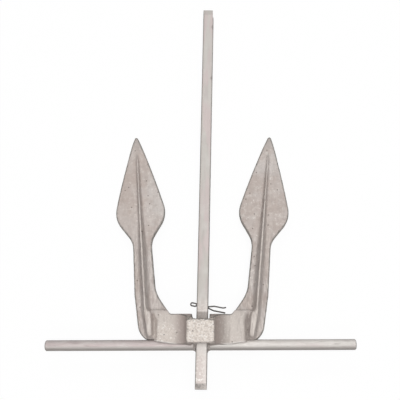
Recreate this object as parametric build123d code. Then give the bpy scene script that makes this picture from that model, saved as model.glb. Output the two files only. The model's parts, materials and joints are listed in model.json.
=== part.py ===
from build123d import *
from math import asin, atan, atan2, cos, degrees, hypot, radians, sin, tan
import os

# A boat anchor with tilting flukes, lying flat on the ground. Millimetres, +Z up.
# +X runs along the stock, +Y runs along the shank from its foot to its shackle end.
# Every piece is drawn about the stock's axis, with Y along the shank or the flukes,
# and then laid down on the ground. The origin is under the middle of the whole anchor.

# Welded cross: a square bar and, on each side of it, half of a round bar
shank_side = 18.0
shank_corner = 2.2
shank_reach = 588.0          # from the stock's axis to the shackle end
foot_reach = 66.5            # from the stock's axis to the foot
shank_lean = 1.3             # the shank is welded this far off square to the stock
shank_end_taper = 10.0       # both ends are ground thinner over this length
shank_end_inset = 1.6        # by this much above and below
shank_flat = 15.0            # length of the flat ground on one side of the shackle end
shank_flat_depth = 1.5
shackle_hole = 11.0
shackle_hole_inset = 35.0    # from the shackle end
trip_hole = 13.0
trip_hole_inset = 135.0
stock_diameter = 16.5
stock_length = 480.0
stock_shift = -3.0           # the shank crosses it this far from its middle
stock_end_chamfer = 1.6
weld_leg = 4.2
weld_hollow = 0.30           # share of the leg left in the middle of the hollow face
weld_cap = 1.2               # how far the weld stands proud of the shank's faces

# Split pin: a half-round wire folded into an eye and two legs
pin_station = 60.0           # from the stock's axis
pin_hole = 8.2
pin_wire = 4.0
pin_gap = 0.5                # between the two flat sides
pin_eye = 6.8
pin_eye_length = 9.2
pin_slant = 10.0
pin_legs = 28.0              # length outside the shank
pin_spread = 2.6             # each leg's distance from the pin's axis, past the shank
pin_kick = 1.8               # upturned tip of the upper leg
pin_kick_length = 4.5
pin_play = 0.1
pin_straight = 0.7           # the legs part this far past the shank
pin_parting = 9.0            # and are fully spread this far past it
pin_bend = 6.0               # radius where the legs part
pin_eye_bend = 1.2

# Crown casting
clearance = 1.0              # round the stock, for a rough casting
casting_shift = -1.3         # along the stock, as far as the slot lets it
casting_skew = 0.5           # it hangs this far off square to the stock
slot_play = 4.5              # on each side of the shank
tilt_limit = 30.0
crown_top = 46.0
crown_top_half = 48.0
crown_depth = 15.0           # half the thickness of the side blocks
block_half = 67.0
block_top = 52.5
block_slope = 7.5
block_flare = 8.5            # its outer edge spreads this far at its top
block_flare_start = 37.0
cheek_drop = 0.5             # how far the cheeks reach below the stock's axis
crown_corner_x = 95.5
crown_corner_y = 8.0
crown_corner_radius = 27.0
boss_wall = 8.0
boss_side_wall = 8.2
boss_top = 35.0
boss_drop = 2.5
boss_rounding = 3.0
boss_flank = 21.0            # width of the hollow between boss and block
flank_drop = 4.0             # the hollow starts this far below the boss's face
flank_sag_across = 0.30      # where its deepest bend is, as shares of its width and height
flank_sag_up = 0.22
web_x = 72.7                 # where the web turns into the arm
web_y = 81.8
web_radius = 60.0
flange = 5.5                 # half the thickness of the arms' flange

# Arms and flukes
splay = 5.3                  # each arm leans outwards
arm_root = 81.7              # where the arm's line meets the stock's axis
arm_root_half = 17.0         # at the arm's start
arm_neck_half = 15.0
arm_start = 76.0
neck = 167.0
neck_radius = 36.0
shoulder = 209.5
shoulder_half = 43.8
shoulder_radius = 42.0
fluke_tip = 361.0
tip_radius = 3.0
fluke_bulge = 2.3            # how far the cutting edges bow outwards
blade = 4.0                  # half the thickness beside the rib
tip_block = 6.0
blade_edge = 2.4
rib_crest = 1.3              # half the width of the rib's crest
spine_foot = 12.0            # half the width of the spine on the arms
rib_foot = 6.0               # half the width of the rib on the blade
spine_height = 23.5
rib_end_height = 3.2
rib_droop = 2.2
rib_narrowing = 0.35         # share of its width that the rib loses towards the tip
pad_top = 49.5
pad_foot = 13.5
pad_half = 4.6
pad_height = 18.0
pad_lean = 1.5               # its point lies this far towards the shank
pad_inset = 3.0              # its head lies this far inside the arm's line
pad_draft = 20.0
pad_point = 0.62             # share of its width left at its point
ramp_length = 12.0           # the spine slopes down to the pad over this length
ramp_sink = 2.0              # and starts this far below the pad's face
tip_block_start = 52.0       # the thicker end of the blade, measured from its tip
tip_block_full = 38.0
tip_block_end = 18.0

slot_half = shank_side / 2 + slot_play
slot_depth = boss_top * tan(radians(tilt_limit)) + shank_side / 2 / cos(radians(tilt_limit)) + clearance
boss_half = slot_half + boss_side_wall
boss_depth = slot_depth + boss_wall
groove = stock_diameter / 2 + clearance

rib_start = pad_top - 2.0
rib_end = fluke_tip - 16.0
rib_sections = 13


def ease(value, start, end):
    """From 0 to 1 between start and end, level at both."""
    share = min(max((value - start) / (end - start), 0.0), 1.0)
    return share * share * (3.0 - 2.0 * share)


def rib_form(station):
    """Height, half width of the foot and of the crest of the rib, at a distance along the arm."""
    share = (station - rib_start) / (rib_end - rib_start)
    height = rib_end_height + (spine_height - rib_end_height) * (1.0 - share ** rib_droop)
    foot = spine_foot + (rib_foot - spine_foot) * ease(station, neck - 30.0, shoulder + 15.0)
    return height, foot * (1.0 - rib_narrowing * ease(station, shoulder, fluke_tip)), rib_crest


rib_stations = [rib_start + (rib_end - rib_start) * count / (rib_sections - 1) for count in range(rib_sections)]

# How the anchor lies: the flukes on the boss and the ribs, the shank on its far end
casting_pitch = atan(min((boss_depth - rib_form(station)[0]) / (station - boss_top) for station in rib_stations[1:]))


def arm_point(u, v):
    """A point beside the arm's line, in the plane of the casting."""
    lean = radians(splay)
    return (arm_root + v * sin(lean) + u * cos(lean), v * cos(lean) - u * sin(lean))


def arm_half(v):
    """Half the width of the arm, at a distance along it."""
    return arm_root_half + (arm_neck_half - arm_root_half) * (v - arm_start) / (neck - arm_start)


def mirrored(shape, plane):
    return shape + mirror(shape, plane)


def slab(outline, half):
    """A flat outline in the plane of the casting, given thickness on both sides."""
    return extrude(make_face(outline), half, both=True)


def crown_outline():
    outer_end = arm_start + 4.0
    inner_end = (arm_start + neck) / 2
    corners = [
        (0.0, -cheek_drop - 1.5),
        (boss_half + boss_flank, -cheek_drop),
        (crown_corner_x, crown_corner_y),
        arm_point(arm_half(outer_end), outer_end),
        arm_point(0.0, outer_end),
        arm_point(-arm_half(inner_end), inner_end),
        (web_x, web_y),
        (crown_top_half, crown_top),
        (0.0, crown_top),
    ]
    radii = [0, 80.0, crown_corner_radius, 0, 0, 0, web_radius, 4.0, 0]
    return FilletPolyline(*corners, radius=radii, close=True)


def crown_section():
    """Block, hollow flank and outer slope, seen along the flukes."""
    flank_start = Vector(0, boss_depth - flank_drop)
    flank_edge = Vector(boss_half - 1.0, boss_depth - flank_drop)
    flank_end = Vector(boss_half + boss_flank, crown_depth)
    rise = boss_depth - crown_depth
    sag = Vector(boss_half + boss_flank * flank_sag_across, crown_depth + rise * flank_sag_up)
    face = make_face([
        Line(Vector(0, 0), flank_start),
        Line(flank_start, flank_edge),
        ThreePointArc(flank_edge, sag, flank_end),
        Line(flank_end, (block_half, crown_depth)),
        Line((block_half, crown_depth), (block_half + block_slope, flange)),
        Line((block_half + block_slope, flange), (block_half + block_slope, 0)),
        Line((block_half + block_slope, 0), Vector(0, 0)),
    ])
    return face


def block_flare_wedge():
    """Where the block spreads towards the arm at its top."""
    def outline(height, spread):
        return Pos(0, 0, height) * make_face(Polyline(
            (block_half - 10.0, block_flare_start),
            (block_half + spread, block_flare_start),
            (block_half + block_flare + spread, block_top),
            (block_half - 10.0, block_top),
            close=True,
        ))

    return loft([outline(0, block_slope * crown_depth / (crown_depth - flange)), outline(crown_depth, 0)])


def crown():
    plan = slab(crown_outline(), boss_depth)
    rim = slab(crown_outline(), flange)
    across = Plane(origin=(0, -boss_drop - 5, 0), x_dir=(1, 0, 0), z_dir=(0, -1, 0))
    prism = extrude(across * crown_section(), -(block_top + boss_drop + 5))
    side = Plane.YZ
    profile = make_face(Polyline(
        (-boss_drop - 5, 0),
        (-boss_drop - 5, crown_depth),
        (-cheek_drop, boss_depth),
        (boss_top, boss_depth),
        (crown_top, crown_depth),
        (block_top, crown_depth),
        (block_top, 0),
        close=True,
    ))
    limit = extrude(side * profile, crown_corner_x)
    block = mirrored((plan & prism & limit) + (plan & block_flare_wedge()), Plane.XY)
    half = rim + block
    return mirrored(half, Plane.YZ)


def boss():
    height = boss_top + boss_drop
    loop = Pos(0, (boss_top - boss_drop) / 2, 0) * Box(2 * boss_half, height, 2 * boss_depth)
    return fillet(loop.edges(), boss_rounding)


def rib_section(station):
    """Cross-section of the rib: a crest on each side of the blade, with hollow flanks."""
    height, foot, crest = rib_form(station)
    hollow = ((foot - crest) * 0.42 + crest, height * 0.36)
    face = make_face([
        ThreePointArc((foot, 0), hollow, (crest, height)),
        Line((crest, height), (-crest, height)),
        ThreePointArc((-crest, height), (-hollow[0], hollow[1]), (-foot, 0)),
        ThreePointArc((-foot, 0), (-hollow[0], -hollow[1]), (-crest, -height)),
        Line((-crest, -height), (crest, -height)),
        ThreePointArc((crest, -height), (hollow[0], -hollow[1]), (foot, 0)),
    ])
    return Plane(origin=(0, station, 0), x_dir=(1, 0, 0), z_dir=(0, -1, 0)) * face


def rib():
    """Spine of the arm and rib of the blade in one, sloping down to the pad at its foot."""
    ridge = loft([rib_section(station) for station in rib_stations])
    ramp = make_face(Polyline(
        (rib_start, pad_height - ramp_sink),
        (rib_start + ramp_length, spine_height + 1.0),
        (rib_start - 1.0, spine_height + 1.0),
        (rib_start - 1.0, pad_height - ramp_sink),
        close=True,
    ))
    return ridge - mirrored(extrude(Plane.YZ * ramp, spine_foot, both=True), Plane.XY)


def fluke_outline():
    """Right half of the arm and of the spade-shaped blade."""
    start = Vector(arm_root_half, arm_start)
    waist = Vector(arm_neck_half, neck)
    corner = Vector(shoulder_half, shoulder)
    tip = Vector(0, fluke_tip)
    edge = tip - corner
    bow = (tip + corner) / 2 + Vector(edge.Y, -edge.X).normalized() * fluke_bulge
    face = make_face([
        Line((0, arm_start), start),
        Line(start, waist),
        Line(waist, corner),
        ThreePointArc(corner, bow, tip),
        Line(tip, (0, arm_start)),
    ])
    face = face + mirror(face, Plane.YZ)
    for station, radius in ((neck, neck_radius), (shoulder, shoulder_radius), (fluke_tip, tip_radius)):
        face = fillet([corner for corner in face.vertices() if abs(corner.Y - station) < 0.01], radius)
    return face


def fluke():
    """Arm and blade about the arm's own line, with its rib and its spine."""
    plan = extrude(fluke_outline(), spine_height, both=True)
    profile = make_face(Polyline(
        (arm_start, 0),
        (arm_start, flange),
        (neck, blade + 1.0),
        (shoulder, blade),
        (fluke_tip - tip_block_start, blade),
        (fluke_tip - tip_block_full, tip_block),
        (fluke_tip - tip_block_end, tip_block - 0.6),
        (fluke_tip, blade_edge * 0.6),
        (fluke_tip, 0),
        close=True,
    ))
    thickness = mirrored(extrude(Plane.YZ * profile, shoulder_half, both=True), Plane.XY)
    bow = ThreePointArc((-shoulder_half, blade_edge), (0, tip_block + 0.5), (shoulder_half, blade_edge))
    ends = [
        Line((shoulder_half, blade_edge), (shoulder_half, 0)),
        Line((shoulder_half, 0), (-shoulder_half, 0)),
        Line((-shoulder_half, 0), (-shoulder_half, blade_edge)),
    ]
    across = Plane(origin=(0, arm_start, 0), x_dir=(1, 0, 0), z_dir=(0, -1, 0))
    lens = mirrored(extrude(across * make_face([bow] + ends), -(fluke_tip - arm_start)), Plane.XY)
    return (plan & thickness & lens) + rib()


def pad():
    """Flat land at the foot of the spine: round at its top and pointed below."""
    upper = Circle(pad_half)
    drop = pad_top - pad_half - pad_foot
    lower = Pos(-pad_lean, -drop) * Circle(pad_half * pad_point)
    outline = make_hull(upper.edges() + lower.edges())
    face = Pos(-pad_inset, pad_top - pad_half, pad_height) * outline
    land = extrude(face, -pad_height, taper=-pad_draft)
    return mirrored(land, Plane.XY)


def casting():
    place = Pos(arm_root, 0, 0) * Rot(0, 0, -splay)
    arm = place * (fluke() + pad())
    body = crown() + boss() + mirrored(arm, Plane.YZ)
    slot = Box(2 * slot_half, 4 * crown_top, 2 * slot_depth)
    throat = Pos(0, boss_top + crown_top, 0) * Box(2 * slot_half, 2 * crown_top, 4 * boss_depth)
    bore = Rot(0, 90, 0) * Cylinder(groove, 4 * arm_root)
    mouth = Pos(0, -crown_top, 0) * Box(4 * arm_root, 2 * crown_top, 2 * groove)
    return body - slot - throat - bore - mouth


def shank():
    length = shank_reach + foot_reach
    half = shank_side / 2
    thin = half - shank_end_inset
    foot = Plane(origin=(0, -foot_reach, 0), x_dir=(1, 0, 0), z_dir=(0, 1, 0))
    bar = extrude(foot * RectangleRounded(shank_side, shank_side, shank_corner), length)
    profile = Polyline(
        (-foot_reach, thin),
        (shank_end_taper - foot_reach, half),
        (shank_reach - shank_end_taper, half),
        (shank_reach, thin),
        (shank_reach, -thin),
        (shank_reach - shank_end_taper, -half),
        (shank_end_taper - foot_reach, -half),
        (-foot_reach, -thin),
        close=True,
    )
    bar &= extrude(Plane.YZ * make_face(profile), shank_side, both=True)
    bar -= Pos(shank_side - shank_flat_depth, shank_reach, 0) * Box(shank_side, 2 * shank_flat, 2 * shank_side)
    cross = Rot(0, 90, 0)
    for station, bore in (
        (shank_reach - shackle_hole_inset, shackle_hole),
        (shank_reach - trip_hole_inset, trip_hole),
        (pin_station, pin_hole),
    ):
        bar -= Pos(0, station, 0) * cross * Cylinder(bore / 2, 2 * shank_side)
    return bar


def leaning_bar():
    """The solid shank as it stands in the cross, which shapes what is welded to it."""
    length = shank_reach + foot_reach
    start = Plane(origin=(0, -foot_reach, 0), x_dir=(1, 0, 0), z_dir=(0, 1, 0))
    return Rot(0, 0, -shank_lean) * extrude(start * Rectangle(shank_side, 2 * shank_side), length)


def stock_half(turn):
    """Half of the stock, butted against the shank: the right half, or the left one when turned round."""
    length = stock_length / 2 + stock_shift * cos(radians(turn))
    rod = Pos(length / 2, 0, 0) * Rot(0, 90, 0) * Cylinder(stock_diameter / 2, length)
    end = rod.faces().sort_by(Axis.X)[-1]
    return Rot(0, turn, 0) * chamfer(end.edges(), stock_end_chamfer) - leaning_bar()


def weld(turn):
    """Fillet weld round half of the stock, barely proud of the shank's faces."""
    radius = stock_diameter / 2
    start = shank_side / 2
    sunk = start - 1.0
    hollow = weld_leg * weld_hollow
    face = make_face(Polyline(
        (sunk, radius),
        (sunk, radius + weld_leg),
        (start, radius + weld_leg),
        (start + hollow, radius + hollow),
        (start + weld_leg, radius),
        close=True,
    ))
    ring = revolve(face, Axis.X) & Box(4 * shank_side, 4 * shank_side, shank_side + 2 * weld_cap)
    return Rot(0, turn, 0) * ring - leaning_bar()


def split_pin():
    """Half-round wire, flat side inwards: upper leg, eye and lower leg."""
    inner = pin_gap / 2
    half = shank_side / 2
    eye = pin_eye / 2 - pin_wire / 2
    eye_bends = [pin_wire * 0.55, pin_eye_bend, eye - 0.4]
    throat = -half - pin_play - pin_wire * 0.26
    back = throat - pin_eye_length + pin_wire * 0.40
    tip = half + pin_legs
    kink = tip - pin_kick_length
    path = FilletPolyline(
        (tip, pin_spread + pin_kick),
        (kink, pin_spread),
        (half + pin_parting, pin_spread),
        (half + pin_straight, inner),
        (throat, inner),
        (throat - eye, eye),
        (back, eye),
        (back, -eye),
        (throat - eye, -eye),
        (throat, -inner),
        (half + pin_straight, -inner),
        (half + pin_parting, -pin_spread),
        (tip, -pin_spread),
        radius=[pin_bend, pin_bend, pin_bend] + eye_bends + eye_bends[::-1] + [pin_bend, pin_bend],
    )
    start = path @ 0
    along = path % 0
    outward = Vector(along.Y, -along.X, 0)
    disc = Circle(pin_wire / 2) & (Pos(pin_wire / 2, 0) * Rectangle(pin_wire, pin_wire))
    section = Plane(origin=start, x_dir=outward, z_dir=along) * disc
    wire = sweep(section, path=path)
    return Pos(0, pin_station, 0) * Rot(0, 0, -pin_slant) * wire


askew = Pos(casting_shift, 0, 0) * Rot(0, 0, -casting_skew)
laid_casting = Rot(-degrees(casting_pitch), 0, 0) * askew * casting()
pivot_height = -laid_casting.bounding_box().min.Z
heel = shank_reach - shank_end_taper
shank_pitch = asin(pivot_height / hypot(heel, shank_side / 2)) - atan2(shank_side / 2, heel)
lay_cross = Rot(-degrees(shank_pitch), 0, 0)
lay_shank = lay_cross * Rot(0, 0, -shank_lean)

pieces = {
    "shank": lay_shank * shank(),
    "stock_right": lay_cross * stock_half(0),
    "stock_left": lay_cross * stock_half(180),
    "weld_right": lay_cross * weld(0),
    "weld_left": lay_cross * weld(180),
    "split_pin": lay_shank * split_pin(),
    "fluke_casting": laid_casting,
}
bounds = [shape.bounding_box() for shape in pieces.values()]
middle_x = (min(box.min.X for box in bounds) + max(box.max.X for box in bounds)) / 2
middle_y = (min(box.min.Y for box in bounds) + max(box.max.Y for box in bounds)) / 2
os.makedirs("parts", exist_ok=True)
for name, shape in pieces.items():
    export_step(Pos(-middle_x, -middle_y, pivot_height) * shape, f"parts/{name}.step")
print("pivot", round(-middle_y, 3), round(pivot_height, 3))
print("shank crosses the stock at", round(-middle_x, 3))
print("pitch of shank and casting", round(degrees(shank_pitch), 3), round(degrees(casting_pitch), 3))
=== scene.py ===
import json
from math import cos, radians, sin, tan

import bpy
from mathutils import Euler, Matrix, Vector

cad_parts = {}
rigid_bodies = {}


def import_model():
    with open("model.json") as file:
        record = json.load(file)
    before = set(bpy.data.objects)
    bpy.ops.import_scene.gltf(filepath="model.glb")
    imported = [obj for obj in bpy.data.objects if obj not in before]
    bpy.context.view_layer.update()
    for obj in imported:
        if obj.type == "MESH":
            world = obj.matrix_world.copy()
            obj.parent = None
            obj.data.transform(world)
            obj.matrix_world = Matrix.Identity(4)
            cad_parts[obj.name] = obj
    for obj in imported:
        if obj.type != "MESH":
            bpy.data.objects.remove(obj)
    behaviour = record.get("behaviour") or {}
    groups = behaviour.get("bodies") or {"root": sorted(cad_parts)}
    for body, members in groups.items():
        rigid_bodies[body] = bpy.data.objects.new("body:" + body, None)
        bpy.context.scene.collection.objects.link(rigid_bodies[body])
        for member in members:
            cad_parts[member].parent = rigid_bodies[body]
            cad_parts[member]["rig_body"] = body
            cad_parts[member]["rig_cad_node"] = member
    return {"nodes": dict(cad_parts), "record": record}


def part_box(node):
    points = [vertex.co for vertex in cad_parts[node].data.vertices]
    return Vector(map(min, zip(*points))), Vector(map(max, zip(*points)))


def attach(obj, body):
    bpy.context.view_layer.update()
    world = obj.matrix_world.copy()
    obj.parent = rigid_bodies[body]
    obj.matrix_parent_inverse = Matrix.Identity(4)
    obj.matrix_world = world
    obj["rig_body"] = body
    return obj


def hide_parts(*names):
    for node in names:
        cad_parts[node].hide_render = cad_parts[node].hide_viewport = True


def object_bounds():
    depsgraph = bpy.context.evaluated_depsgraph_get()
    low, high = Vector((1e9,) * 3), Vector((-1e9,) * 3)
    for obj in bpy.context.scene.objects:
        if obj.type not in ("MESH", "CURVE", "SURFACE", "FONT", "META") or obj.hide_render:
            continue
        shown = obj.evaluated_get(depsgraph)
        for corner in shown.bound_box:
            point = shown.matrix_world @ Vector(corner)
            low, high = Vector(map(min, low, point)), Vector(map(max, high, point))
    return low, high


# A galvanised boat anchor that lies on a white studio floor. Metres, +Z up, flukes along +Y.
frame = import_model()
cad_low, cad_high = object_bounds()
bar_low, bar_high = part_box("shank")
cast_low, cast_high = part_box("fluke_casting")
stock_axis = Vector(frame["record"]["behaviour"]["joints"][0]["pos_m"])
bores = [Vector(mount["pos_m"]) for mount in frame["record"]["mounts"]]
scene = bpy.context.scene

# Camera: high over the foot end, looking down and a little along the shank
camera_lens = 63.0
camera_tilt = radians(13.9)
camera_lean = radians(1.63)
camera_turn = radians(-0.15)
camera_distance = 1.1574
camera_target = Vector((0.0004, -0.0244, 0.0255))

# Light: a large softbox overhead, one past each end and a faint even surround
key_power = 98.0
key_size = 2.0
key_place = Vector((0.35, -0.30, 4.2))
fill_power = 20.0
fill_size = 1.4
fill_place = Vector((-0.2, 2.0, 2.9))
front_power = 9.0
front_size = 0.8
front_place = Vector((0.0, -1.7, 2.5))
surround_level = 0.26
floor_side = 12.0
floor_grey = (0.25, 0.25, 0.25, 1.0)    # what the floor throws back at the anchor
floor_shadow = 0.06                     # how much of the shadow shows on the white floor
white = (1.0, 1.0, 1.0, 1.0)

# Colours, in linear light: the shank's, the stock's, the casting's and the pin's
zinc_bar = (0.515, 0.487, 0.452)
zinc_bar_warm = (0.465, 0.425, 0.400)
zinc_bar_bright = (0.640, 0.612, 0.585)
zinc_bar_dull_and_shade = (0.240, 0.220, 0.205)
zinc_bar_pink = (0.575, 0.490, 0.478)
zinc_foot = (0.670, 0.600, 0.560)
zinc_rod = (0.500, 0.432, 0.425)
zinc_rod_cool = (0.525, 0.500, 0.470)
zinc_rod_warm = (0.470, 0.395, 0.385)
zinc_rod_bright = (0.590, 0.555, 0.528)
zinc_rod_dull_and_shade = (0.300, 0.270, 0.255)
zinc_cast = (0.580, 0.535, 0.508)
zinc_cast_warm = (0.462, 0.388, 0.350)
zinc_cast_dull = (0.340, 0.300, 0.275)
zinc_cast_bright = (0.640, 0.590, 0.550)
zinc_streak_and_slope_shade = (0.380, 0.310, 0.285)
zinc_crown = (0.600, 0.545, 0.500)
zinc_boss = (0.760, 0.690, 0.630)
zinc_grit = (0.480, 0.420, 0.375)
zinc_glint = (0.850, 0.810, 0.770)
zinc_rim_shade = (0.165, 0.160, 0.145)
zinc_shadow = (0.150, 0.125, 0.110)
steel_bright = (0.120, 0.106, 0.100)
steel_dark = (0.030, 0.026, 0.025)

# Marks, painted shade and painted highlights on the shank. Each fades in or out between the two distances
# of its pair.
bar_half = 0.009
bar_lean = radians(1.3)                 # it is welded a little off square
boss_reach = 0.037                      # from the stock's axis to the boss's edge
collar_fade = (0.045, 0.080)            # pale zinc from the foot end to this far past the stock's axis
saddle_highlight_fade = (0.008, 0.024)             # painted highlight over the boss's shade, from the stock's axis both ways
slot_shade_start = (-0.002, 0.0)             # painted shade in the crown's slot, from the boss's edge
slot_shade_stop = (0.012, 0.015)
spatter_fade = (0.018, 0.034)           # from the foot end
end_fade = (0.009, 0.011)               # the ground ends, from either end
left_strip_fade = (-bar_half, -0.004)   # from the shank's middle line
right_strip_fade = (0.001, 0.006)
bore_shade_fade = (0.0086, 0.0104)           # painted shade round a bore's mouth, from its middle

# Marks on the stock, from the middle of the anchor
rod_left_fade = (-0.060, 0.020)

# Marks on the casting, and where shade is painted on it
casting_pitch = radians(6.5)            # the flukes slope down to the ground
boss_face = (cast_high.z - stock_axis.z) * cos(casting_pitch)
boss_fade = (-0.0130, -0.0050)          # from the boss's face down its walls
root_fade = (0.050, 0.062)              # the crown, from the casting's foot side
block_fade = (0.068, 0.074)             # where the crown's blocks end and the pads begin
flank_fade = (0.028, 0.045)             # painted shade in the hollows beside the boss, from the middle
right_hollow_start = (0.020, 0.030)     # more painted shade in the right one
right_hollow_stop = (0.037, 0.050)
crease_start = (0.066, 0.072)           # painted shade between the right block and its pad
crease_stop = (0.074, 0.078)
left_flange_fade = (-0.125, -0.090)     # warmer zinc on the left blade's flange, from the middle
arm_fade = (0.137, 0.197)               # from the stock's axis to the blades
tip_fade = (0.010, 0.034)               # from the tips
pad_fade = (0.0162, 0.0172)             # from the casting's middle plane, both ways
plate_fade = (0.0062, 0.0076)           # the blades' and flanges' edges, from the same plane
patch_centre = stock_axis + Vector((-0.055, 0.016, 0.012))
patch_fade = (0.010, 0.022)             # a rough patch on the left block
pit_spacing = 0.026                     # between the few dark pits

# The softened skin of the casting
skin_voxel = 0.0013
skin_passes = 6
skin_lump = 0.0004
skin_lump_size = 0.012
merge_distance = 0.00001

# The boss's rough rim
boss_side = 0.030                       # half the width that it takes in
boss_rim = 0.009                        # how far down from the boss's face
boss_passes = 20
boss_grit = 0.0018
boss_grit_size = 0.0042
boss_grit_level = 0.65                  # above a half, so that it is worn away more than it is raised


class Wire:
    """What comes out of a node. Sums, differences and products of wires add Math nodes."""

    def __init__(self, nodes, socket):
        self.nodes = nodes
        self.socket = socket

    def math(self, operation, *others):
        return self.nodes.math(operation, self, *others)

    def __add__(self, other):
        return self.math("ADD", other)

    def __radd__(self, other):
        return self.math("ADD", other)

    def __sub__(self, other):
        return self.math("SUBTRACT", other)

    def __rsub__(self, other):
        return self.nodes.math("SUBTRACT", other, self)

    def __mul__(self, other):
        return self.math("MULTIPLY", other)

    def __rmul__(self, other):
        return self.math("MULTIPLY", other)

    def size(self):
        """Its value without its sign."""
        return self.math("ABSOLUTE")

    def ramp(self, low, high):
        """0 below low, 1 above high and smooth between them."""
        sockets = {"Value": self, "From Min": low, "From Max": high}
        return self.nodes.add("ShaderNodeMapRange", {"interpolation_type": "SMOOTHSTEP"}, sockets)

    def fall(self, low, high):
        """1 below low, 0 above high and smooth between them."""
        return 1.0 - self.ramp(low, high)


class Nodes:
    """The nodes of a material or of the surround."""

    def __init__(self, tree):
        self.tree = tree
        tree.nodes.clear()

    def add(self, kind, settings, sockets, output=0):
        """A node of this kind. Its settings are set first, then the values or links of its sockets."""
        node = self.tree.nodes.new(kind)
        for name, value in settings.items():
            setattr(node, name, value)
        for name, value in sockets.items():
            if isinstance(value, Wire):
                self.tree.links.new(value.socket, node.inputs[name])
            else:
                node.inputs[name].default_value = value
        if node.outputs:
            return Wire(self, node.outputs[output])

    def math(self, operation, *terms):
        return self.add("ShaderNodeMath", {"operation": operation}, dict(enumerate(terms)))

    def seen(self):
        """1 for what the eye sees, straight or in gloss or glass, and 0 for what lights the anchor."""
        rays = ("Is Camera Ray", "Is Glossy Ray", "Is Transmission Ray")
        eye, gloss, glass = (self.add("ShaderNodeLightPath", {}, {}, ray) for ray in rays)
        return eye.math("MAXIMUM", gloss).math("MAXIMUM", glass)


class Finish(Nodes):
    """The nodes of one material, with patterns on the piece's own coordinates."""

    def __init__(self, name):
        self.material = bpy.data.materials.new(name)
        self.material.use_nodes = True
        super().__init__(self.material.node_tree)

    def place(self):
        return self.add("ShaderNodeTexCoord", {}, {}, "Object")

    def axis(self, letter):
        """How far along X, Y or Z of the part's frame."""
        return self.add("ShaderNodeSeparateXYZ", {}, {"Vector": self.place()}, letter)

    def normal(self, letter):
        """Which way the surface faces: 1 along X, Y or Z and -1 against it."""
        facing = self.add("ShaderNodeNewGeometry", {}, {}, "Normal")
        return self.add("ShaderNodeSeparateXYZ", {}, {"Vector": facing}, letter)

    def curve(self):
        """Over a half on edges that stand out, under a half in creases."""
        return self.add("ShaderNodeNewGeometry", {}, {}, "Pointiness")

    def distance(self, centre):
        """How far from a point."""
        settings = {"operation": "DISTANCE"}
        return self.add("ShaderNodeVectorMath", settings, {0: self.place(), 1: centre}, "Value")

    def stretched(self, scale, turn=0.0):
        """The piece's own coordinates, scaled and turned about Z, for a pattern that runs one way."""
        sockets = {"Vector": self.place(), "Scale": scale, "Rotation": (0.0, 0.0, turn)}
        return self.add("ShaderNodeMapping", {}, sockets)

    def noise(self, size, detail, roughness, place=None):
        """Cloudy noise whose patches are about this size."""
        sockets = {
            "Vector": place or self.place(),
            "Scale": 1.0 / size,
            "Detail": detail,
            "Roughness": roughness,
        }
        return self.add("ShaderNodeTexNoise", {}, sockets, "Fac")

    def specks(self, spacing, low, high):
        """Round specks, seen from above, about this far apart. Low and high are shares of the spacing."""
        sockets = {"Vector": self.place(), "Scale": 1.0 / spacing}
        away = self.add("ShaderNodeTexVoronoi", {"voronoi_dimensions": "2D"}, sockets, "Distance")
        return away.fall(low, high)

    def coats(self, colour, *coats):
        """A colour with other colours over it in turn, each by its share from 0 to 1."""
        under = (*colour, 1.0)
        for share, shade in coats:
            sockets = {0: share, 6: under, 7: (*shade, 1.0)}
            under = self.add("ShaderNodeMix", {"data_type": "RGBA"}, sockets, 2)
        return under

    def bump(self, height, depth):
        """Relief of this depth, in metres."""
        return self.add("ShaderNodeBump", {}, {"Height": height, "Distance": depth, "Strength": 1.0})

    def surface(self, colour, roughness, normal, metallic, specular):
        sockets = {
            "Base Color": colour,
            "Roughness": roughness,
            "Normal": normal,
            "Metallic": metallic,
            "Specular IOR Level": specular,
        }
        shader = self.add("ShaderNodeBsdfPrincipled", {}, sockets)
        self.add("ShaderNodeOutputMaterial", {}, {"Surface": shader})
        return self.material


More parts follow.
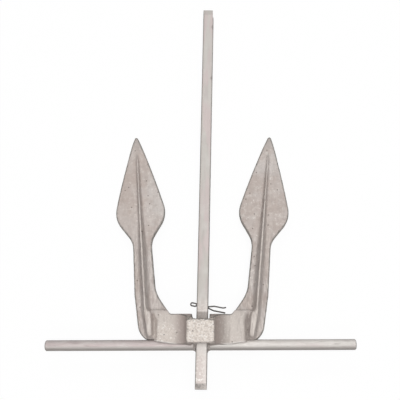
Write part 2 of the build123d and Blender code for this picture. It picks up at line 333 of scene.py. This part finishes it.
def galvanised_bar():
    """Square bar under hot-dip zinc: long faint runs, small blooms and ground ends, with painted shade in
    the crown's slot, on its sides and round the bores' mouths, and painted light round the stock and
    towards the far end.
    """
    finish = Finish("galvanised_bar")
    runs = finish.noise(size=0.006, detail=5.0, roughness=0.6, place=finish.stretched((1.0, 0.09, 1.0)))
    blush = finish.noise(size=0.020, detail=3.0, roughness=0.5, place=finish.stretched((1.0, 0.22, 1.0)))
    blooms = finish.noise(size=0.030, detail=3.0, roughness=0.6)
    flecks = finish.noise(size=0.0036, detail=3.0, roughness=0.6)
    grains = finish.noise(size=0.0016, detail=3.0, roughness=0.6)

    along = finish.axis("Y")
    reach = along - stock_axis.y
    past_boss = reach - boss_reach
    from_foot = along - bar_low.y
    off_middle = finish.axis("X") - stock_axis.x - reach * tan(bar_lean)
    collar = reach.fall(*collar_fade)
    saddle_highlight = reach.size().fall(*saddle_highlight_fade)
    slot_shade = past_boss.ramp(*slot_shade_start) * past_boss.fall(*slot_shade_stop)
    spatter = from_foot.fall(*spatter_fade)
    foot_end = from_foot.fall(*end_fade)
    far_end = (bar_high.y - along).fall(*end_fade)
    left_strip = off_middle.fall(*left_strip_fade)
    right_strip = off_middle.ramp(*right_strip_fade)
    # painted shade on the bar's rounded corners and side faces, by which way they face
    side = finish.normal("X").size()
    mouths = [bore + Vector((bar_half, 0.0, 0.0)) for bore in bores]
    bore_shades = [finish.distance(mouth).fall(*bore_shade_fade) for mouth in mouths]

    colour = finish.coats(
        zinc_bar,
        (runs.ramp(0.42, 0.66), zinc_bar_warm),
        (blooms.ramp(0.45, 0.75) * 0.5, zinc_bar_bright),
        # painted light: lighter towards the far end, evening out the lamps' fall-off
        (along.ramp(stock_axis.y, bar_high.y) * 0.35, zinc_bar_bright),
        (blush.ramp(0.44, 0.58) * 0.75, zinc_bar_pink),
        (collar * 0.7, zinc_foot),
        # painted highlight over the boss's shade round the stock
        (saddle_highlight * 0.6, zinc_glint),
        (left_strip * 0.22, zinc_bar_dull_and_shade),
        (right_strip * collar * 0.35, zinc_glint),
        ((collar * 0.4 + spatter * 0.6) * flecks.ramp(0.50, 0.58), zinc_glint),
        (grains.ramp(0.60, 0.80) * 0.25, zinc_shadow),
        (foot_end * (0.45 + 0.50 * flecks.ramp(0.46, 0.60)) + far_end * 0.15, zinc_bar_dull_and_shade),
        # painted shade in the crown's slot
        (slot_shade * (0.35 + 0.4 * grains), zinc_shadow),
        # painted shade on the rounded corners and side faces
        (side.ramp(0.05, 0.60) * 0.35 + side.ramp(0.70, 0.95) * 0.45, zinc_bar_dull_and_shade),
        # painted shade round the bores' mouths
        *[(bore_shade * 0.8, zinc_bar_dull_and_shade) for bore_shade in bore_shades],
    )
    roughness = 0.46 + 0.16 * runs + 0.08 * grains
    normal = finish.bump(runs * 0.7 + grains * 0.3, depth=0.0004)
    return finish.surface(colour, roughness, normal, metallic=0.10, specular=0.25)


def galvanised_rod():
    """Round bar under hot-dip zinc: smooth, with runs along it and painted shade on its front and back
    sides, brighter on the right, with a painted highlight on the right half's upper side.
    """
    finish = Finish("galvanised_rod")
    runs = finish.noise(size=0.005, detail=5.0, roughness=0.6, place=finish.stretched((0.12, 1.0, 1.0)))
    fine_runs = finish.stretched((0.10, 1.0, 1.0))
    scratches = finish.noise(size=0.0020, detail=3.0, roughness=0.6, place=fine_runs)
    blooms = finish.noise(size=0.024, detail=3.0, roughness=0.6)

    facing = finish.normal("Y")
    endways = finish.normal("X").size()
    left = finish.axis("X").fall(*rod_left_fade)
    foot_side_shade = facing.fall(-0.75, -0.35)
    back_side_shade = facing.ramp(0.75, 0.95)
    shine = facing.ramp(0.05, 0.35) * (1.0 - left)
    under = left * facing.fall(-0.40, -0.10)
    end_rim = endways.ramp(0.15, 0.45) * endways.fall(0.88, 0.98)

    colour = finish.coats(
        zinc_rod_cool,
        (left * 0.8, zinc_rod),
        (blooms.ramp(0.40, 0.65) * 0.6, zinc_rod_bright),
        (shine * 0.45, zinc_glint),
        (runs.ramp(0.45, 0.70) * (0.4 + 0.5 * left), zinc_rod_warm),
        (scratches.ramp(0.56, 0.70) * 0.5, zinc_rod_dull_and_shade),
        (under * 0.6, zinc_rod_cool),
        # painted shade on the stock's front and back sides
        (foot_side_shade * 0.70 + back_side_shade * 0.55, zinc_rod_dull_and_shade),
        (end_rim * 0.6, zinc_rod_dull_and_shade),
    )
    roughness = 0.36 + 0.18 * runs
    normal = finish.bump(runs, depth=0.0004)
    return finish.surface(colour, roughness, normal, metallic=0.15, specular=0.3)


def galvanised_weld():
    """A weld bead under zinc, rippled round the rod."""
    finish = Finish("galvanised_weld")
    ripples = finish.noise(size=0.004, detail=4.0, roughness=0.6)
    colour = finish.coats(zinc_cast_dull, (ripples.ramp(0.40, 0.70), zinc_cast))
    roughness = 0.50 + 0.20 * ripples
    normal = finish.bump(ripples, depth=0.0012)
    return finish.surface(colour, roughness, normal, metallic=0.1, specular=0.25)


def pin_steel():
    """Dark, scuffed steel wire."""
    finish = Finish("pin_steel")
    scuffs = finish.noise(size=0.0014, detail=4.0, roughness=0.6)
    colour = finish.coats(steel_bright, (scuffs.ramp(0.45, 0.70), steel_dark))
    roughness = 0.30 + 0.22 * scuffs
    normal = finish.bump(scuffs, depth=0.0001)
    return finish.surface(colour, roughness, normal, metallic=0.2, specular=0.3)


class CastPlaces:
    """Where the parts of the casting are, alike on both faces unless a mark is on one side only."""

    def __init__(self, finish):
        along = finish.axis("Y")
        reach = along - stock_axis.y
        sideways = finish.axis("X")
        across = sideways.size()
        middle = reach * sin(casting_pitch) + (finish.axis("Z") - stock_axis.z) * cos(casting_pitch)
        thickness = middle.size()
        self.root = (along - cast_low.y).fall(*root_fade)
        self.crown = self.root * across.fall(*block_fade)
        self.flank = self.crown * across.fall(*flank_fade)
        self.boss = self.crown * (thickness - boss_face).ramp(*boss_fade)
        right_part = sideways.ramp(*right_hollow_start) * sideways.fall(*right_hollow_stop)
        self.right_hollow = self.crown * right_part
        self.crease = self.root * sideways.ramp(*crease_start) * sideways.fall(*crease_stop)
        self.patch = self.crown * finish.distance(patch_centre).fall(*patch_fade)
        self.left_flange = sideways.fall(*left_flange_fade)
        self.arms = (1.0 - self.crown) * reach.fall(*arm_fade)
        self.pads = across.ramp(*block_fade) * thickness.ramp(*pad_fade)
        self.plates = thickness.fall(*plate_fade)
        self.tips = (cast_high.y - along).fall(*tip_fade)


def galvanised_casting():
    """Sand-cast iron under zinc: dull on the flukes, brighter and rougher on the crown and its boss, with
    painted shade on slopes, in creases, beside the boss and along edges, and painted highlights on crests
    and the blocks' lower edges.
    """
    finish = Finish("galvanised_casting")
    turned = finish.stretched((1.0, 1.0, 1.0), turn=1.0)
    long_runs = finish.stretched((1.0, 0.10, 1.0))
    fine_runs = finish.stretched((1.0, 0.07, 1.0))
    grain = finish.noise(size=0.0022, detail=5.0, roughness=0.65)
    lumps = finish.noise(size=0.007, detail=5.0, roughness=0.65)
    clouds = finish.noise(size=0.050, detail=4.0, roughness=0.6)
    mottle = finish.noise(size=0.0100, detail=5.0, roughness=0.7)
    speckle = finish.noise(size=0.0024, detail=3.0, roughness=0.6)
    glints = finish.noise(size=0.0030, detail=2.0, roughness=0.5, place=turned)
    streaks = finish.noise(size=0.0040, detail=4.0, roughness=0.6, place=long_runs)
    drips = finish.noise(size=0.0024, detail=4.0, roughness=0.6, place=fine_runs)
    pits = finish.specks(pit_spacing, 0.030, 0.055) * clouds.ramp(0.42, 0.44)

    at = CastPlaces(finish)
    curve = finish.curve()
    facing = finish.normal("Y")
    # painted shade on surfaces that slope away from the top
    slope = finish.normal("Z").size().fall(0.50, 0.95)
    convex = curve.ramp(0.504, 0.530)
    # painted shade in creases
    crevice_shade = curve.fall(0.44, 0.50)
    # painted shade along the blades' and flanges' edges, and on the crown's top edges
    rim = convex * at.plates * (0.55 + 0.45 * lumps.ramp(0.40, 0.60))
    back_edge_shade = convex * at.crown * facing.ramp(0.10, 0.40)
    # painted highlight along the lower edges of the crown's blocks
    lip_highlight = curve.ramp(0.501, 0.515) * at.crown * (1.0 - at.flank) * facing.fall(-0.45, -0.08)
    # painted highlight on crests
    crest_highlight = curve.ramp(0.52, 0.58) * (1.0 - rim) * (1.0 - slope)
    rough = at.crown * 0.14 + at.boss * 0.50 + at.patch * 0.40

    colour = finish.coats(
        zinc_cast,
        (clouds.ramp(0.38, 0.62) * 0.75, zinc_cast_warm),
        (mottle.ramp(0.48, 0.62) * 0.22, zinc_cast_dull),
        (lumps.ramp(0.46, 0.68) * 0.55, zinc_cast_bright),
        (at.arms * 0.10, zinc_cast_dull),
        (streaks.ramp(0.50, 0.70) * (0.25 + 0.30 * at.arms), zinc_cast_dull),
        (drips.ramp(0.50, 0.60) * (0.06 + at.arms * 0.34), zinc_streak_and_slope_shade),
        (drips.fall(0.38, 0.46) * at.arms * 0.35, zinc_boss),
        (glints.ramp(0.58, 0.67) * lumps.ramp(0.50, 0.60) * 0.45, zinc_glint),
        (at.crown * 0.8, zinc_crown),
        (at.crown * streaks.ramp(0.50, 0.68) * 0.35, zinc_cast_dull),
        (at.patch * 0.45, zinc_boss),
        # painted shade in the hollows beside the boss
        (at.flank * 0.65, zinc_streak_and_slope_shade),
        # more painted shade in the right hollow and between the right block and its pad
        (at.right_hollow * (1.0 - at.boss) * 0.38 + at.crease * 0.45, zinc_shadow),
        (at.left_flange * 0.4, zinc_cast_warm),
        (at.boss + at.pads * 0.5, zinc_boss),
        (at.pads * drips.ramp(0.47, 0.56) * 0.35, zinc_cast_dull),
        (rough * speckle.ramp(0.46, 0.60), zinc_grit),
        (rough * glints.ramp(0.56, 0.66) * 1.4, zinc_glint),
        # painted shade on slopes, more on the crown
        (slope * (0.15 + at.crown * 0.25), zinc_streak_and_slope_shade),
        (grain.ramp(0.58, 0.80) * 0.3, zinc_shadow),
        # painted shade in creases, more at the root and on the arms
        (crevice_shade * (0.20 + at.root * 0.25 + at.arms * 0.15), zinc_shadow),
        # painted highlight on crests
        (crest_highlight * 0.4, zinc_cast_bright),
        # painted highlight on the blocks' lower edges
        (lip_highlight * 0.8, zinc_glint),
        (at.tips * 0.7, zinc_bar_warm),
        # painted shade along edges
        ((rim + back_edge_shade) * 0.85, zinc_rim_shade),
        (pits * 0.75, zinc_shadow),
    )
    roughness = 0.52 + 0.20 * grain - 0.22 * lip_highlight
    normal = finish.bump(lumps * 0.4 + grain * 0.4 + rough * speckle, depth=0.0011)
    return finish.surface(colour, roughness, normal, metallic=0.05, specular=0.25)


def paint(node, material):
    """Gives a CAD node its finish."""
    slots = frame["nodes"][node].data.materials
    slots.clear()
    slots.append(material)


def merged_copy(node, name):
    """A copy of a CAD node's mesh, whose loose triangles are joined up."""
    piece = frame["nodes"][node].copy()
    piece.data = piece.data.copy()
    piece.name = name
    piece.parent = None
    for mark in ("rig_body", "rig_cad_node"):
        del piece[mark]
    scene.collection.objects.link(piece)
    bpy.ops.object.select_all(action="DESELECT")
    bpy.context.view_layer.objects.active = piece
    piece.select_set(True)
    bpy.ops.object.mode_set(mode="EDIT")
    bpy.ops.mesh.select_all(action="SELECT")
    bpy.ops.mesh.remove_doubles(threshold=merge_distance)
    bpy.ops.object.mode_set(mode="OBJECT")
    if piece.data.has_custom_normals:
        bpy.ops.mesh.customdata_custom_splitnormals_clear()
    return piece


def shape(piece, kind, settings):
    """Adds a modifier of this kind to the piece and applies it."""
    modifier = piece.modifiers.new("shape", kind)
    for name, value in settings.items():
        setattr(modifier, name, value)
    bpy.ops.object.modifier_apply(modifier=modifier.name)


def soften(piece, passes, group=""):
    """Rounds off the edges, of the whole piece or of one vertex group."""
    shape(piece, "SMOOTH", {"factor": 0.5, "iterations": passes, "vertex_group": group})


def roughen(piece, height, size, octaves, level=0.5, group=""):
    """Raises and sinks the surface by cloudy noise. Where the noise is at level, it stays."""
    sand = bpy.data.textures.new("mould_sand", "CLOUDS")
    sand.noise_scale = size
    sand.noise_depth = octaves
    settings = {
        "texture": sand,
        "texture_coords": "LOCAL",
        "strength": height,
        "mid_level": level,
        "vertex_group": group,
    }
    shape(piece, "DISPLACE", settings)


def mark_boss(piece):
    """A vertex group of the boss's two faces and the walls round them."""
    boss = piece.vertex_groups.new(name="boss")
    level = Euler((casting_pitch, 0.0, 0.0)).to_matrix()
    for vertex in piece.data.vertices:
        place = level @ (vertex.co - stock_axis)
        if abs(place.x) < boss_side and abs(place.z) > boss_face - boss_rim:
            boss.add([vertex.index], 1.0, "REPLACE")
    return boss.name


def cast_flukes():
    """The casting with the soft edges and the uneven skin that a sand mould leaves."""
    piece = merged_copy("fluke_casting", "cast_flukes")
    shape(piece, "REMESH", {"mode": "VOXEL", "voxel_size": skin_voxel})
    soften(piece, skin_passes)
    roughen(piece, skin_lump, skin_lump_size, octaves=3)
    boss = mark_boss(piece)
    soften(piece, boss_passes, group=boss)
    roughen(piece, boss_grit, boss_grit_size, octaves=1, level=boss_grit_level, group=boss)
    bpy.ops.object.shade_smooth()
    piece.data.materials.clear()
    piece.data.materials.append(galvanised_casting())
    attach(piece, "flukes")
    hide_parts("fluke_casting")


def studio_floor():
    bpy.ops.mesh.primitive_plane_add(size=floor_side, location=(0.0, 0.0, cad_low.z))
    floor = bpy.context.object
    floor.name = "studio_floor"
    finish = Finish("studio_floor")
    matt = finish.add("ShaderNodeBsdfDiffuse", {}, {"Color": floor_grey})
    glow = finish.add("ShaderNodeEmission", {}, {"Color": white, "Strength": 1.0})
    lit = finish.add("ShaderNodeBsdfDiffuse", {}, {"Color": white})
    backdrop = finish.add("ShaderNodeMixShader", {}, {0: floor_shadow, 1: glow, 2: lit})
    shader = finish.add("ShaderNodeMixShader", {}, {0: finish.seen(), 1: matt, 2: backdrop})
    finish.add("ShaderNodeOutputMaterial", {}, {"Surface": shader})
    floor.data.materials.append(finish.material)


def studio_surround():
    world = bpy.data.worlds.new("studio_surround")
    world.use_nodes = True
    nodes = Nodes(world.node_tree)
    strength = surround_level + (1.0 - surround_level) * nodes.seen()
    light = nodes.add("ShaderNodeBackground", {}, {"Color": white, "Strength": strength})
    nodes.add("ShaderNodeOutputWorld", {}, {"Surface": light})
    scene.world = world


def softbox(name, power, size, place):
    """A square lamp that faces the middle of the anchor."""
    lamp = bpy.data.lights.new(name, "AREA")
    lamp.energy = power
    lamp.size = size
    holder = bpy.data.objects.new(name, lamp)
    holder.location = place
    holder.rotation_euler = (camera_target - place).to_track_quat("-Z", "Y").to_euler()
    scene.collection.objects.link(holder)


def studio_camera():
    camera = bpy.data.objects.new("studio_camera", bpy.data.cameras.new("studio_camera"))
    turn = Euler((camera_tilt, camera_lean, camera_turn))
    camera.data.lens = camera_lens
    camera.rotation_euler = turn
    camera.location = camera_target + turn.to_matrix() @ Vector((0.0, 0.0, camera_distance))
    scene.collection.objects.link(camera)
    scene.camera = camera


scene.view_settings.view_transform = "Standard"
studio_camera()
studio_floor()
studio_surround()
softbox("key_light", key_power, key_size, key_place)
softbox("fill_light", fill_power, fill_size, fill_place)
softbox("front_light", front_power, front_size, front_place)

paint("shank", galvanised_bar())
rod = galvanised_rod()
weld = galvanised_weld()
for side in ("left", "right"):
    paint("stock_" + side, rod)
    paint("weld_" + side, weld)
paint("split_pin", pin_steel())
cast_flukes()
